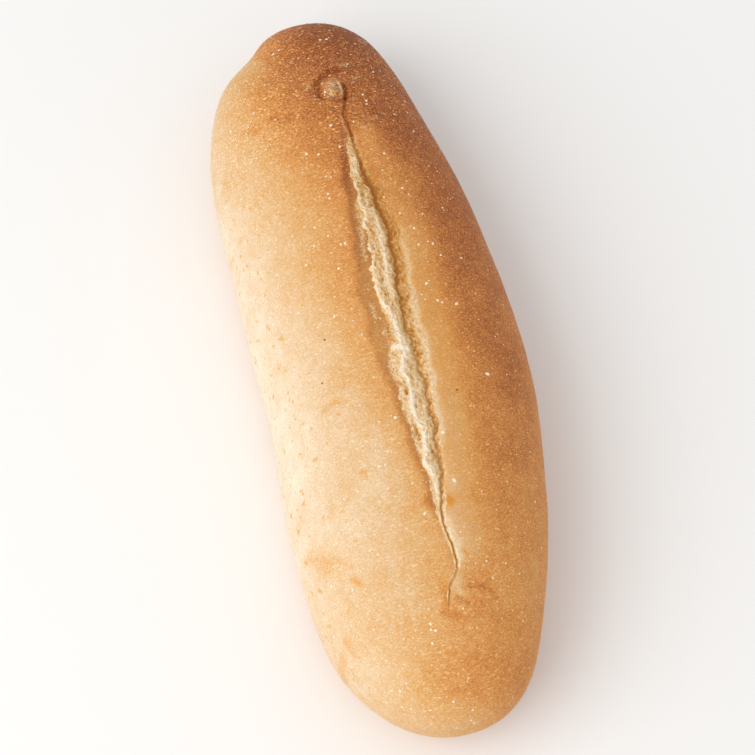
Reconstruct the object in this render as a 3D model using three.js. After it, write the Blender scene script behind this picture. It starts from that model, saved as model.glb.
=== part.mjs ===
// A soft hoagie roll: one piece of baked bread, slashed once along its crown.
// Units are millimetres. +X runs along the roll to its paler end, +Z is up, and the flat sole lies at Z = 0.
import * as THREE from 'three';
import { LoftGeometry } from 'three/addons/geometries/LoftGeometry.js';
import { ImprovedNoise } from 'three/addons/math/ImprovedNoise.js';

// Driving dimensions of the loaf
const LENGTH = 205;
const HEIGHT = 50;
const WAIST_HEIGHT = 20; // height of the widest line above the sole
const BELLY_DROP = 30; // how far the dough would sag below the waist if no sheet held it up
const SOLE_EDGE = 3; // half the height over which the belly turns into the flat sole
const CROWN_SQUARENESS = 2.2; // 2 would be an ellipse
const BELLY_SQUARENESS = 2.4;

// Each end is rounded like a superellipse, in plan and in side view
const BROWN_END = { plan: 2.38, side: 2.8 };
const PALE_END = { plan: 2.26, side: 2.64 };
const TIP = 0.002; // the rounding is cut off this share of the half length early, which leaves a small flat tip

// Stations along the roll are pairs: a place along X, then the value there
const HALF = LENGTH / 2;
const BACKBONE = [[-HALF, 3.1], [-72, -0.6], [-31, 1], [10, 1.4], [51, -3.5], [82, -7.1], [HALF, -5.8]];
const GIRTH = [[-HALF, 40], [-51, 35.6], [0, 35.2], [51, 36.7], [HALF, 40.2]];

// The slash: its crevice, the torn crumb beside it, the bank that slopes down to the crumb, and the torn wall
// Near the pale end it jogs aside and goes on as a second short crack
const CREVICE_PATH = [[-66, 7.8], [-57, 5.9], [-42, 5.8], [-21, 7.3], [2, 4.5], [25, 4.4], [45, 2.1], [57, -0.9],
  [65, -0.3], [70, -0.9], [73, -3.5], [80, -5.7]];
const CREVICE_DEPTH = [[-70, 0], [-64, 0.6], [-46, 0.8], [-22, 1.3], [24, 1.3], [48, 1], [62, 0.7], [68.5, 0.6],
  [71.5, 0.1], [75, 0.5], [80, 0]];
const CRUMB_WIDTH = [[-54, 0.8], [-38, 4.6], [-20, 7.5], [0, 5], [18, 6.6], [36, 5.4], [50, 2.2], [57, 0.8]];
const BANK_WIDTH = [[-68, 6], [-58, 2], [-50, 1.6], [-30, 2.6], [4, 4.4], [18, 2.2], [48, 1.4]];
const WALL_WIDTH = [[-66, 1], [-50, 1.2], [-35, 2.1], [10, 3.6], [27, 1.8], [60, 1.6], [78, 1]];
const LIP_WIDTH = 5;
const RIDGE_EDGE = 0.78; // where the crumb stands up from the bank's foot, as a share of the crumb's width
const RIDGE_FOOT = 0.16; // where it breaks off into the crevice, on the same scale
const BANK_DROP = 0.42; // depth of the bank's foot, as a share of the crevice's depth
const RIDGE_DROP = 0.08; // depth of the crumb's ridge, on the same scale
const RIDGE_FOOT_DROP = 0.34; // depth where the ridge breaks off
const LIP_RISE = 0.08; // height of the lip over the wall
const WHOLE_SKIN = 1; // where the crumb is no wider than this, the slash is only a crease
const TORN_SKIN = 5; // where it is wider than this, the slash is torn open all the way
const TIP_REACH = 0.4; // how far from the backbone the crevice's line may run near the tips, in half widths

// Torn crumb: crags of two sizes, each with its spacing along and across the slash and its height
const CRAGS = [
  { along: 7, across: 3.2, height: 0.6 },
  { along: 3.2, across: 1.8, height: 0.4 },
];
const CRAG_FADE = 0.8; // width over which the crags die away at the edges of the crumb
const RAGGED = { crevice: 0.45, crumb: 0.6 }; // how far the edges of the tear wander from an even line
const RAGGED_WAVES = [
  { length: 11.3, share: 0.6, phase: 2 },
  { length: 6.1, share: 0.4, phase: 5 },
];

// Where the slash began the skin puckered into a lump, and a soft fold runs from there down the brown end
const PUCKER = { at: [-69.5, 4.9], radius: 3, height: 0.9 };
const PUCKER_PIT = { at: [-67.5, 8.9], radius: 1.7, height: -0.7 };
const PUCKER_ARCH = { at: [-69.5, 6.9], radius: 6, width: 1.2, height: 0.45 };
const FOLD = { from: [-96.2, -14.5], to: [-74, -4.7], width: 6.5, depth: 2.4 };

// Slow unevenness of a hand-shaped loaf
const UNEVEN = [
  { spacing: 46, height: 0.5 },
  { spacing: 17, height: 0.22 },
];
const CALM_TIP = 8; // half width below which the unevenness dies away, at the tips
const LAYER_STEP = 7.3; // keeps the layers of an uneven surface apart, so that they don't repeat each other

// Heights above the sole between which the reliefs on the upper crust fade in
const FOLD_FADE = [6, 20];
const SLASH_FADE = [20, 35];

// Facets: sections along the roll, and strips round each section
const SECTIONS = 112;
const FACETS_ACROSS = [2, 3, 7, 4]; // across the lip, the wall, the crumb and the bank
const FACETS_AROUND = 36; // from the bank down the side, under the sole and back up to the lip
const FLANK_ROWS = [1.72, 1.26 + 2 * Math.PI]; // mean angles of the bank and the lip, between which those facets lie
const FLANK_EASE = 4; // how soon they leave the slash's uneven edges for straight rows
const EVEN_FROM = 0.8; // share of the half length from where the points spread evenly, towards the tips
const CRUST = new THREE.MeshStandardMaterial({ color: 0xd8a25e, roughness: 0.55, metalness: 0 });

const noise = new ImprovedNoise();

// A smooth curve through a few stations: each slope is taken from the neighbouring stations
function along(stations, x) {
  const last = stations.length - 1;
  if (x <= stations[0][0]) return stations[0][1];
  if (x >= stations[last][0]) return stations[last][1];
  const slope = (i) => {
    const before = stations[Math.max(i - 1, 0)];
    const after = stations[Math.min(i + 1, last)];
    return (after[1] - before[1]) / (after[0] - before[0]);
  };
  const next = stations.findIndex((station) => station[0] > x);
  const [x0, v0] = stations[next - 1];
  const [x1, v1] = stations[next];
  const span = x1 - x0;
  const t = (x - x0) / span;
  const s = 1 - t;
  const ends = (1 + 2 * t) * s * s * v0 + (1 + 2 * s) * t * t * v1;
  const slopes = t * s * s * slope(next - 1) - t * t * s * slope(next);
  return ends + span * slopes;
}

function signedPower(value, power) {
  return Math.sign(value) * Math.abs(value) ** power;
}

// How full the roll still is at x: 1 in the middle, close to 0 at the tips
function fullness(x, view) {
  const squareness = (x < 0 ? BROWN_END : PALE_END)[view];
  return (1 - Math.abs((1 - TIP) * x / HALF) ** squareness) ** (1 / squareness);
}

function halfWidth(x) {
  return along(GIRTH, x) * fullness(x, 'plan');
}

// The baking sheet holds the belly up: the underside turns softly into a flat sole
function settle(z) {
  if (z >= SOLE_EDGE) return z;
  if (z <= -SOLE_EDGE) return 0;
  return (z + SOLE_EDGE) ** 2 / (4 * SOLE_EDGE);
}

// The section's own squareness: an angle of 0 points to +Y, a quarter turn to +Z
function loafPoint(x, angle) {
  const cos = Math.cos(angle);
  const sin = Math.sin(angle);
  const power = 2 / (sin > 0 ? CROWN_SQUARENESS : BELLY_SQUARENESS);
  const reach = (sin > 0 ? HEIGHT - WAIST_HEIGHT : BELLY_DROP) * fullness(x, 'side');
  const y = along(BACKBONE, x) + halfWidth(x) * signedPower(cos, power);
  const z = WAIST_HEIGHT + reach * signedPower(sin, power);
  return new THREE.Vector3(x, y, z);
}

// The angle of the crown's point at y
function crownAngle(x, y) {
  return Math.acos(signedPower((y - along(BACKBONE, x)) / halfWidth(x), CROWN_SQUARENESS / 2));
}

// How far the slash is torn open at x: 0 where it is a crease, 1 where the crumb shows
function tornAt(x) {
  return THREE.MathUtils.smoothstep(along(CRUMB_WIDTH, x), WHOLE_SKIN, TORN_SKIN);
}

// An uneven line along the tear, between about -1 and 1, different for each edge
function wander(x, edge) {
  let aside = 0;
  for (const { length, share, phase } of RAGGED_WAVES) {
    aside += share * Math.sin(2 * Math.PI * x / length + phase * edge);
  }
  return tornAt(x) * aside;
}

// The crevice's line is carried on to the tips, where it runs together with the backbone
function creviceAt(x) {
  const spine = along(BACKBONE, x);
  const reach = TIP_REACH * halfWidth(x);
  const aside = along(CREVICE_PATH, x) + RAGGED.crevice * wander(x, 1) - spine;
  return spine + THREE.MathUtils.clamp(aside, -reach, reach);
}

// Widths of the slash's strips at x
function strips(x) {
  const narrowing = fullness(x, 'plan');
  return {
    lip: narrowing * LIP_WIDTH,
    wall: narrowing * along(WALL_WIDTH, x),
    crumb: narrowing * (along(CRUMB_WIDTH, x) + RAGGED.crumb * wander(x, 2)),
    bank: narrowing * along(BANK_WIDTH, x),
  };
}

function bell(distance, radius) {
  return Math.exp(-((distance / radius) ** 2));
}

// How far a point in plan lies from a straight crease, and how far along the crease it is, from 0 to 1
function toCrease(crease, x, y) {
  const start = new THREE.Vector3(crease.from[0], crease.from[1], 0);
  const line = new THREE.Line3(start, new THREE.Vector3(crease.to[0], crease.to[1], 0));
  const point = new THREE.Vector3(x, y, 0);
  const share = line.closestPointToPointParameter(point, true);
  return { share, distance: line.at(share, new THREE.Vector3()).distanceTo(point) };
}

function crags(x, y) {
  let height = 0;
  for (const [layer, crag] of CRAGS.entries()) {
    height += crag.height * noise.noise(x / crag.along, y / crag.across, LAYER_STEP * (layer + 1));
  }
  return height;
}

// Height that the slash adds to the crown, seen across it from its bank to its lip
function slash(x, y) {
  const { lip, wall, crumb, bank } = strips(x);
  const depth = along(CREVICE_DEPTH, x);
  const across = y - creviceAt(x);
  const torn = tornAt(x);
  const profile = [
    [-crumb - bank, 0],
    [-crumb, -BANK_DROP * depth],
    [-RIDGE_EDGE * crumb, -THREE.MathUtils.lerp(BANK_DROP, RIDGE_DROP, torn) * depth],
    [-RIDGE_FOOT * crumb, -THREE.MathUtils.lerp(BANK_DROP, RIDGE_FOOT_DROP, torn) * depth],
    [0, -depth],
    [wall, LIP_RISE * depth],
    [wall + lip, 0],
  ];
  const fromCrevice = THREE.MathUtils.smoothstep(-across, 0, CRAG_FADE);
  const fromBank = THREE.MathUtils.smoothstep(crumb + across, 0, CRAG_FADE);
  return along(profile, across) + torn * fromCrevice * fromBank * crags(x, y);
}

function mound(shape, x, y) {
  return shape.height * bell(Math.hypot(x - shape.at[0], y - shape.at[1]), shape.radius);
}

// The arched wrinkle round the far side of the pucker
function arch(x, y) {
  const ring = Math.hypot(x - PUCKER_ARCH.at[0], y - PUCKER_ARCH.at[1]) - PUCKER_ARCH.radius;
  const farSide = THREE.MathUtils.smoothstep(PUCKER_ARCH.at[0] - x, 0, PUCKER_ARCH.radius);
  return PUCKER_ARCH.height * farSide * bell(ring, PUCKER_ARCH.width);
}

function fold(x, y) {
  const { share, distance } = toCrease(FOLD, x, y);
  return -FOLD.depth * (1 - share ** 2) * bell(distance, FOLD.width);
}

function unevenness(point) {
  let height = 0;
  for (const [layer, wave] of UNEVEN.entries()) {
    const place = point.clone().divideScalar(wave.spacing);
    height += wave.height * noise.noise(place.x, place.y, place.z + LAYER_STEP * (layer + 1));
  }
  return height;
}

// The loaf swells and folds outwards from the heart of each section, and the slash is cut down into its crown
function addRelief(point) {
  const { x, y } = point;
  const swell = unevenness(point) + THREE.MathUtils.smoothstep(point.z, ...FOLD_FADE) * fold(x, y);
  const heart = new THREE.Vector3(x, along(BACKBONE, x), WAIST_HEIGHT);
  const outward = point.clone().sub(heart).normalize();
  point.addScaledVector(outward, swell * Math.min(1, halfWidth(x) / CALM_TIP));
  const crown = THREE.MathUtils.smoothstep(point.z, ...SLASH_FADE);
  point.z += crown * (slash(x, y) + mound(PUCKER, x, y) + mound(PUCKER_PIT, x, y) + arch(x, y));
}

// An angle on the way round from the bank to the lip: the rows start at their uneven edges and soon run straight
function flankAngle(bankAngle, lipAngle, share) {
  const [bankRow, lipRow] = FLANK_ROWS;
  const fromBank = (bankAngle - bankRow) * (1 - share) ** FLANK_EASE;
  const fromLip = (lipAngle - lipRow) * share ** FLANK_EASE;
  return THREE.MathUtils.lerp(bankRow, lipRow, share) + fromBank + fromLip;
}

// Angles of a section's points. Across the slash they follow its strips, and then they go round the loaf in rows.
// Towards the tips, past the slash, they spread evenly all the way round.
function sectionAngles(x) {
  const { lip, wall, crumb, bank } = strips(x);
  const crevice = creviceAt(x);
  const edges = [wall + lip, wall, 0, -crumb, -crumb - bank];
  const angles = [];
  for (const [strip, facets] of FACETS_ACROSS.entries()) {
    for (let i = 0; i < facets; i++) {
      const across = THREE.MathUtils.lerp(edges[strip], edges[strip + 1], i / facets);
      angles.push(crownAngle(x, crevice + across));
    }
  }
  const bankAngle = crownAngle(x, crevice + edges.at(-1));
  const lipAngle = angles[0] + 2 * Math.PI;
  for (let i = 0; i < FACETS_AROUND; i++) {
    angles.push(flankAngle(bankAngle, lipAngle, i / FACETS_AROUND));
  }
  const evenness = THREE.MathUtils.smoothstep(Math.abs(x), EVEN_FROM * HALF, HALF);
  const creviceIndex = FACETS_ACROSS[0] + FACETS_ACROSS[1];
  const step = 2 * Math.PI / angles.length;
  const middle = crownAngle(x, crevice);
  return angles.map((angle, i) => THREE.MathUtils.lerp(angle, middle + (i - creviceIndex) * step, evenness));
}

function section(x) {
  const points = [];
  for (const angle of sectionAngles(x)) {
    const point = loafPoint(x, angle);
    addRelief(point);
    point.z = settle(point.z);
    points.push(point);
  }
  return points;
}

function makeRoll() {
  const sections = [];
  for (let i = 0; i < SECTIONS; i++) {
    const step = 2 * i / (SECTIONS - 1) - 1;
    sections.push(section(HALF * Math.sin(Math.PI * step / 2)));
  }
  const geometry = new LoftGeometry(sections, { capStart: true, capEnd: true });
  geometry.computeBoundingBox();
  const centre = geometry.boundingBox.getCenter(new THREE.Vector3());
  geometry.translate(-centre.x, -centre.y, -geometry.boundingBox.min.z);
  const roll = new THREE.Mesh(geometry, CRUST);
  roll.name = 'roll';
  return roll;
}

const hoagieRoll = new THREE.Group();
hoagieRoll.add(makeRoll());

export default hoagieRoll;
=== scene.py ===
# %% [markdown]
# A hoagie roll
# This lesson dresses a plain solid of a hoagie roll, a long soft wheat roll that is slashed once before it
# is baked. The solid already has the loaf's true size and its main relief. What is missing is what the oven
# did to it: a thin browned skin, the pale torn crumb in the slash, and the tiny blisters that fermenting
# dough raises on its crust.

# %% Load the solid roll
from math import cos, pi, radians, sin

import bpy
import numpy as np
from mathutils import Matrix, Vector


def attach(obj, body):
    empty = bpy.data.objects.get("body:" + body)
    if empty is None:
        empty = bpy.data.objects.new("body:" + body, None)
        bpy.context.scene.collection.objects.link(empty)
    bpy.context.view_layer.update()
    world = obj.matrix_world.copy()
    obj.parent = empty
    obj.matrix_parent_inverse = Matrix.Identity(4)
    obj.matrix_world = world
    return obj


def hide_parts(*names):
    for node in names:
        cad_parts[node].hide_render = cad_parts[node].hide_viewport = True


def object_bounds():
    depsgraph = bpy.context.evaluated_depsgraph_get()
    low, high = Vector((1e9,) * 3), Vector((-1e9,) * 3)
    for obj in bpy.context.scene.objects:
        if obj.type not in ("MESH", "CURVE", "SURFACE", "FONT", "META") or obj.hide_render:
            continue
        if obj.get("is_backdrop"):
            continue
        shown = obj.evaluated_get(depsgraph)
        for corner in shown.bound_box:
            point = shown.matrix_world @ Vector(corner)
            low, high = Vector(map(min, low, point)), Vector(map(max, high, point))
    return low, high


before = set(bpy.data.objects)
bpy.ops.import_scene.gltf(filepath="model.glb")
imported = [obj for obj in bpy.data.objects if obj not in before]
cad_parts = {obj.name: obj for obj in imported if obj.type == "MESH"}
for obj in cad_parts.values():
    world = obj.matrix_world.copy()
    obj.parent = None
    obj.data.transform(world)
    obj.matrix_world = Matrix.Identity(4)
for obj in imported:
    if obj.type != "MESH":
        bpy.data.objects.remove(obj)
solid_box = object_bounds()
MM = 0.001
size = (solid_box[1] - solid_box[0]) / MM
print(f"The solid roll measures {size.x:.1f} x {size.y:.1f} x {size.z:.1f} mm")

# %% [markdown]
# The camera
# The roll is seen from high above its pale end, so that its length runs from the top left to the bottom
# right. A long lens from about half a metre keeps the far end from shrinking, as food is usually
# photographed. The camera is placed first, because everything else is judged through it.

# %% Place the camera
VIEW_AZIMUTH, VIEW_ELEVATION = 74.6, 66
VIEW_DISTANCE = 550 * MM
VIEW_TARGET = Vector((7, -3.5, 25)) * MM
LENS = 100


def towards(azimuth, elevation):
    """Points from the roll to an azimuth, counted from -Y towards +X, and an elevation, both in degrees."""
    azimuth, elevation = radians(azimuth), radians(elevation)
    return Vector((sin(azimuth) * cos(elevation), -cos(azimuth) * cos(elevation), sin(elevation)))


towards_camera = towards(VIEW_AZIMUTH, VIEW_ELEVATION)
bpy.ops.object.camera_add(
    location=VIEW_TARGET + VIEW_DISTANCE * towards_camera,
    rotation=towards_camera.to_track_quat("Z", "Y").to_euler(),
)
camera = bpy.context.object
camera.data.lens = LENS
bpy.context.scene.camera = camera
print("The camera stands at", [round(c / MM) for c in camera.location], "mm")

# %% [markdown]
# The floor and the light
# A wide soft light stands on the side that the roll turns its pale flank to, and a bright even surround
# fills the shade, as in a small studio with white walls. The floor is near white, so it also lights the
# roll from below.

# %% Build the studio
FLOOR_SIZE = 6
KEY_AZIMUTH, KEY_ELEVATION = 18, 46
KEY_DISTANCE = 1.2
KEY_SIZE = 1.0
KEY_POWER = 7.1
SURROUND = 0.72


def linear(hex_colour):
    """Turns a colour written as sRGB hex into the linear values that light adds up in."""
    shares = [int(hex_colour[i:i + 2], 16) / 255 for i in (1, 3, 5)]
    return [s / 12.92 if s <= 0.04045 else ((s + 0.055) / 1.055) ** 2.4 for s in shares] + [1]


def add_node(material, kind, inputs=None, stops=(), **settings):
    """Adds one node to a material with its settings, its inputs as values or links, and its colour stops."""
    tree = material.node_tree
    node = tree.nodes.new(kind)
    for name, value in settings.items():
        setattr(node, name, value)
    for socket, value in (inputs or {}).items():
        if isinstance(value, bpy.types.NodeSocket):
            tree.links.new(value, node.inputs[socket])
        else:
            node.inputs[socket].default_value = value
    for i, (place, colour) in enumerate(stops):
        elements = node.color_ramp.elements
        element = elements[i] if i < len(elements) else elements.new(place)
        element.position = place
        element.color = linear(colour)
    return node


def new_material(name):
    """Starts an empty material that shows whatever shader its output is linked to."""
    material = bpy.data.materials.new(name)
    material.use_nodes = True
    material.node_tree.nodes.clear()
    return material


bpy.ops.mesh.primitive_plane_add(size=FLOOR_SIZE)
floor = bpy.context.object
floor.name = "floor"
floor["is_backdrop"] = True
# Matt painted board: no gloss, so that only a soft shadow shows on it.
board = new_material("matt_white_board")
board_shader = add_node(board, "ShaderNodeBsdfDiffuse", {"Color": linear("#f8f7f5")})
add_node(board, "ShaderNodeOutputMaterial", {"Surface": board_shader.outputs[0]})
floor.data.materials.append(board)

towards_key = towards(KEY_AZIMUTH, KEY_ELEVATION)
bpy.ops.object.light_add(
    type="AREA",
    location=KEY_DISTANCE * towards_key,
    rotation=towards_key.to_track_quat("Z", "Y").to_euler(),
)
key = bpy.context.object
key.name = "key_light"
key.data.size = KEY_SIZE
key.data.energy = KEY_POWER

surround = bpy.data.worlds.new("white_walls")
surround.use_nodes = True
surround.node_tree.nodes["Background"].inputs["Color"].default_value = linear("#ffffff")
surround.node_tree.nodes["Background"].inputs["Strength"].default_value = SURROUND
bpy.context.scene.world = surround
bpy.context.scene.view_settings.view_transform = "Standard"
print(f"The key light gives {KEY_POWER} W from {KEY_DISTANCE} m")

# %% [markdown]
# The skin of the loaf
# The solid is made of flat facets, and the real skin is smooth. A copy of it is merged into one closed
# skin, its triangles are paired into quads, and a subdivision surface rounds the facets off. That keeps the
# loaf's true form, where a remesh would wash out the narrow slash. Only the crown is divided again, because
# the fine relief is there.

# %% Merge the solid into one skin of quads
MERGE_DISTANCE = 0.002 * MM


def select_only(piece):
    """Selects one piece and makes it the active one, in object mode."""
    bpy.ops.object.select_all(action="DESELECT")
    piece.select_set(True)
    bpy.context.view_layer.objects.active = piece


def select_faces(piece, chosen):
    """Goes into edit mode with only the chosen faces of a piece selected."""
    select_only(piece)
    bpy.ops.object.mode_set(mode="EDIT")
    bpy.ops.mesh.select_mode(type="FACE")
    bpy.ops.mesh.select_all(action="DESELECT")
    bpy.ops.object.mode_set(mode="OBJECT")
    piece.data.polygons.foreach_set("select", chosen)
    bpy.ops.object.mode_set(mode="EDIT")


def points_of(piece):
    """The piece's points in millimetres, one row for each."""
    flat = np.empty(3 * len(piece.data.vertices))
    piece.data.vertices.foreach_get("co", flat)
    return flat.reshape(-1, 3) / MM


crust = bpy.data.objects.new("crust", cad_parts["roll"].data.copy())
bpy.context.scene.collection.objects.link(crust)
crust.data.materials.clear()
select_only(crust)
bpy.ops.object.mode_set(mode="EDIT")
bpy.ops.mesh.select_all(action="SELECT")
bpy.ops.mesh.customdata_custom_splitnormals_clear()
bpy.ops.mesh.remove_doubles(threshold=MERGE_DISTANCE)
bpy.ops.object.mode_set(mode="OBJECT")

tips = abs(points_of(crust)[:, 0])
on_tip = tips > tips.max() - MERGE_DISTANCE / MM
select_faces(crust, [all(on_tip[i] for i in face.vertices) for face in crust.data.polygons])
bpy.ops.mesh.dissolve_faces()
bpy.ops.mesh.poke()
bpy.ops.mesh.select_all(action="INVERT")
bpy.ops.mesh.tris_convert_to_quads(face_threshold=pi, shape_threshold=pi, topology_influence=1.5)
bpy.ops.object.mode_set(mode="OBJECT")
sides = np.array([len(face.vertices) for face in crust.data.polygons])
print("Faces with 3, 4 and more sides:", (sides == 3).sum(), (sides == 4).sum(), (sides > 4).sum())

# %% Round the skin, and divide the crown again
SKIN_LEVELS = 1
CROWN = 30


def apply_modifier(piece, kind, **settings):
    """Adds a modifier with its settings and applies it at once."""
    select_only(piece)
    modifier = piece.modifiers.new(kind.lower(), kind)
    for name, value in settings.items():
        setattr(modifier, name, value)
    bpy.ops.object.modifier_apply(modifier=modifier.name)


def face_centres(piece):
    """The middle of each face in millimetres, one row for each."""
    flat = np.empty(3 * len(piece.data.polygons))
    piece.data.polygons.foreach_get("center", flat)
    return flat.reshape(-1, 3) / MM


apply_modifier(crust, "SUBSURF", levels=SKIN_LEVELS, render_levels=SKIN_LEVELS)
bpy.ops.object.shade_smooth()
select_faces(crust, face_centres(crust)[:, 2] > CROWN)
bpy.ops.mesh.subdivide(number_cuts=1, smoothness=1)
bpy.ops.object.mode_set(mode="OBJECT")
print(f"The skin has {len(crust.data.polygons)} faces")

# %% [markdown]
# A map of the slash
# The baker's blade opened the crown, and the rising dough tore it wider. From left to right the tear has a
# sloping bank of stretched skin, a strip of pale crumb, a brown crevice, and a torn wall with a lip.
# Everything that follows needs to know where those strips run, so their lines are written down once, in
# millimetres along and across the roll.

# %% Map the slash
# Each pair is a place along the roll and the value there. The share narrows the crumb where its edge is
# skinned over. Each ragged wave is a length, a share and a phase.
HALF = 102.5
END_ROUNDING = (2.38, 2.26)
CREVICE_PATH = [(-66, 7.8), (-57, 5.9), (-42, 5.8), (-21, 7.3), (2, 4.5), (25, 4.4), (45, 2.1), (57, -0.9),
                (65, -0.3), (70, -0.9), (73, -3.5), (80, -5.7)]
CREVICE_DEPTH = [(-70, 0), (-64, 0.6), (-46, 0.8), (-22, 1.3), (24, 1.3), (48, 1), (62, 0.7), (68.5, 0.6),
                 (71.5, 0.1), (75, 0.5), (80, 0)]
CRUMB_WIDTH = [(-54, 0.8), (-38, 4.6), (-20, 7.5), (0, 5), (18, 6.6), (36, 5.4), (50, 2.2), (57, 0.8)]
CRUMB_SHARE = [(-54, 1.2), (-47, 1.1), (-42, 0.85), (-37.5, 0.92), (-34.5, 0.77), (-22, 0.79), (-14, 0.8),
               (-10, 0.96), (-3, 1), (1, 0.88), (12, 1)]
BANK_WIDTH = [(-68, 6), (-58, 2), (-50, 1.6), (-30, 2.6), (4, 4.4), (18, 2.2), (48, 1.4)]
WALL_WIDTH = [(-66, 1), (-50, 1.2), (-35, 2.1), (10, 3.6), (27, 1.8), (60, 1.6), (78, 1)]
WHOLE_SKIN, TORN_SKIN = 1, 5
RAGGED_CREVICE = 0.45
RAGGED_WAVES = [(11.3, 0.6, 2), (6.1, 0.4, 5)]


def ease(value, start, end):
    """Rises smoothly from 0 at start to 1 at end."""
    share = np.clip((value - start) / (end - start), 0, 1)
    return share * share * (3 - 2 * share)


def along(stations, x):
    """A smooth curve through a few stations, each a place along the roll and the value there."""
    places, values = np.array(stations, float).T
    last = len(places) - 1
    order = np.arange(last + 1)
    before, after = np.maximum(order - 1, 0), np.minimum(order + 1, last)
    slopes = (values[after] - values[before]) / (places[after] - places[before])
    x = np.clip(x, places[0], places[-1])
    i = np.clip(np.searchsorted(places, x, side="right") - 1, 0, last - 1)
    span = places[i + 1] - places[i]
    t = (x - places[i]) / span
    s = 1 - t
    ends = (1 + 2 * t) * s * s * values[i] + (1 + 2 * s) * t * t * values[i + 1]
    return ends + span * (t * s * s * slopes[i] - t * t * s * slopes[i + 1])


def slash_at(x):
    """The crevice's place across the roll at x, and the widths of the crumb, the bank and the wall there."""
    rounding = np.where(x < 0, *END_ROUNDING)
    narrowing = (1 - np.clip(np.abs(x / HALF), 0, 1) ** rounding) ** (1 / rounding)
    torn = ease(along(CRUMB_WIDTH, x), WHOLE_SKIN, TORN_SKIN)
    ragged = sum(share * np.sin(2 * pi * x / length + phase) for length, share, phase in RAGGED_WAVES)
    crevice = along(CREVICE_PATH, x) + RAGGED_CREVICE * torn * ragged
    crumb, bank, wall = (narrowing * along(widths, x) for widths in (CRUMB_WIDTH, BANK_WIDTH, WALL_WIDTH))
    return crevice, crumb * along(CRUMB_SHARE, x), bank, wall


for place in (-50, 0, 50):
    strips = np.round(slash_at(np.array([place])), 1).ravel()
    print(f"At {place} mm the crevice, crumb, bank and wall are", strips)

# %% [markdown]
# Wrinkles
# Where the blade went in, the skin puckered around a rough lump, and where the tear ran out it creased.
# These folds are about a millimetre wide, so the skin is divided further around them and each fold is
# raised along a short line. A few faint creases on the flank and the crown are drawn the same way. They
# could be sculpted, but a line can be corrected by changing a number.

# %% Raise the wrinkles
# Each spot is a place along and across the roll and its reach. Each fold is a line, its width and its
# height.
FINE_SPOTS = [(-69, 6, 13), (-69, 5, 7), (73, -3, 10)]
BANK_FROM, BANK_TO = -50, 54
BANK_OUTSIDE, BANK_INSIDE = 2, 0.5
BANK_SMOOTHING = 12
LUMP = ([(-69.8, 5), (-67, 4.4)], 2.3, 0.7)
PIT = ([(-69.6, 8.2), (-67.6, 8.2), (-65.6, 7.5)], 0.6, -1)
CREASE = ([(-65.6, 7.4), (-62, 6.4), (-60, 5.5), (-57, 5.7), (-52, 6)], 0.4, -0.6)
ARCH = ([(-67.4, 1.1), (-71.2, 1.2), (-73.6, 3.2), (-75, 5.8), (-75.4, 8)], 0.8, -0.95)
HOOK = ([(-69.8, 10.6), (-71.3, 11.5), (-72.1, 13.6)], 0.5, 0.4)
PALE_FOLDS = [
    HOOK,
    ([(-70.4, 6.9), (-68, 7.2), (-66.2, 6.8)], 0.4, 0.3),
    ([(-76.8, 9), (-77.3, 11.6)], 0.6, 0.25),
    ([(-56.9, 12.4), (-57.3, 14.8)], 0.6, 0.25),
    ([(-54.3, 9), (-54.8, 11.2)], 0.5, 0.2),
    ([(-59, 15.4), (-58.6, 17.4)], 0.5, 0.2),
    ([(-70.9, -1.4), (-70.2, -2)], 0.9, 0.25),
]
# These folds and the grooves listed next are raised or sunk here, and further down they are also painted
# darker as shade.
PUCKER_FOLDS = [PIT, CREASE, ARCH]
SHADED_FOLDS = [
    ([(75.8, -2.4), (76.8, -1), (78, 0.2)], 0.45, -0.3),
    ([(73.9, -0.2), (74.9, 5.2)], 0.8, -0.15),
    ([(74.4, 4.4), (75.6, 5.6), (77.8, 6.8)], 0.5, -0.3),
    ([(65.4, 1.9), (66.8, 3)], 0.5, -0.2),
    ([(-65, -21.4), (-63.6, -16.9)], 1, -0.15),
    ([(-65.1, -13), (-62.8, -8.4)], 1, -0.15),
    ([(-70.6, -2.3), (-66.4, 1.2), (-64.6, 5.6)], 0.7, -0.3),
    ([(78.6, -6.4), (79.8, -3.6)], 1, -0.25),
    ([(20.6, -21.4), (19.4, -18.6), (20.4, -15.6)], 0.7, -0.15),
]
SOFT_FOLDS = [
    LUMP,
    ([(-65.6, -0.4), (-70, -1.2), (-74.4, 0.8), (-77, 4.6), (-78, 9)], 1.3, 0.35),
    ([(-72.6, 5), (-73.2, 7)], 1.2, 0.25),
    ([(77, -3.6), (78.2, -1.6)], 0.6, 0.25),
    ([(73.3, 4.6), (74.4, 6.4)], 0.9, 0.25),
]


def move_points(piece, points):
    """Puts the piece's points at these places in millimetres."""
    piece.data.vertices.foreach_set("co", (points * MM).ravel())
    piece.data.update()


def bell(distance, width):
    """1 in the middle, and close to 0 two widths away."""
    return np.exp(-(distance / width) ** 2)


def near(points, path, width):
    """1 on a line of straight stretches, seen in plan, and close to 0 two widths away from it."""
    nearest = np.full(len(points), np.inf)
    for start, end in zip(np.array(path[:-1]), np.array(path[1:])):
        run = end - start
        share = np.clip((points[:, :2] - start) @ run / (run @ run), 0, 1)
        nearest = np.minimum(nearest, np.linalg.norm(points[:, :2] - start - share[:, None] * run, axis=1))
    return bell(nearest, width)


def closeness(points, marks):
    """How much each point belongs to the nearest of some marks along lines, from 0 to 1."""
    return np.max([near(points, path, width) for path, width, _ in marks], axis=0)


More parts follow.
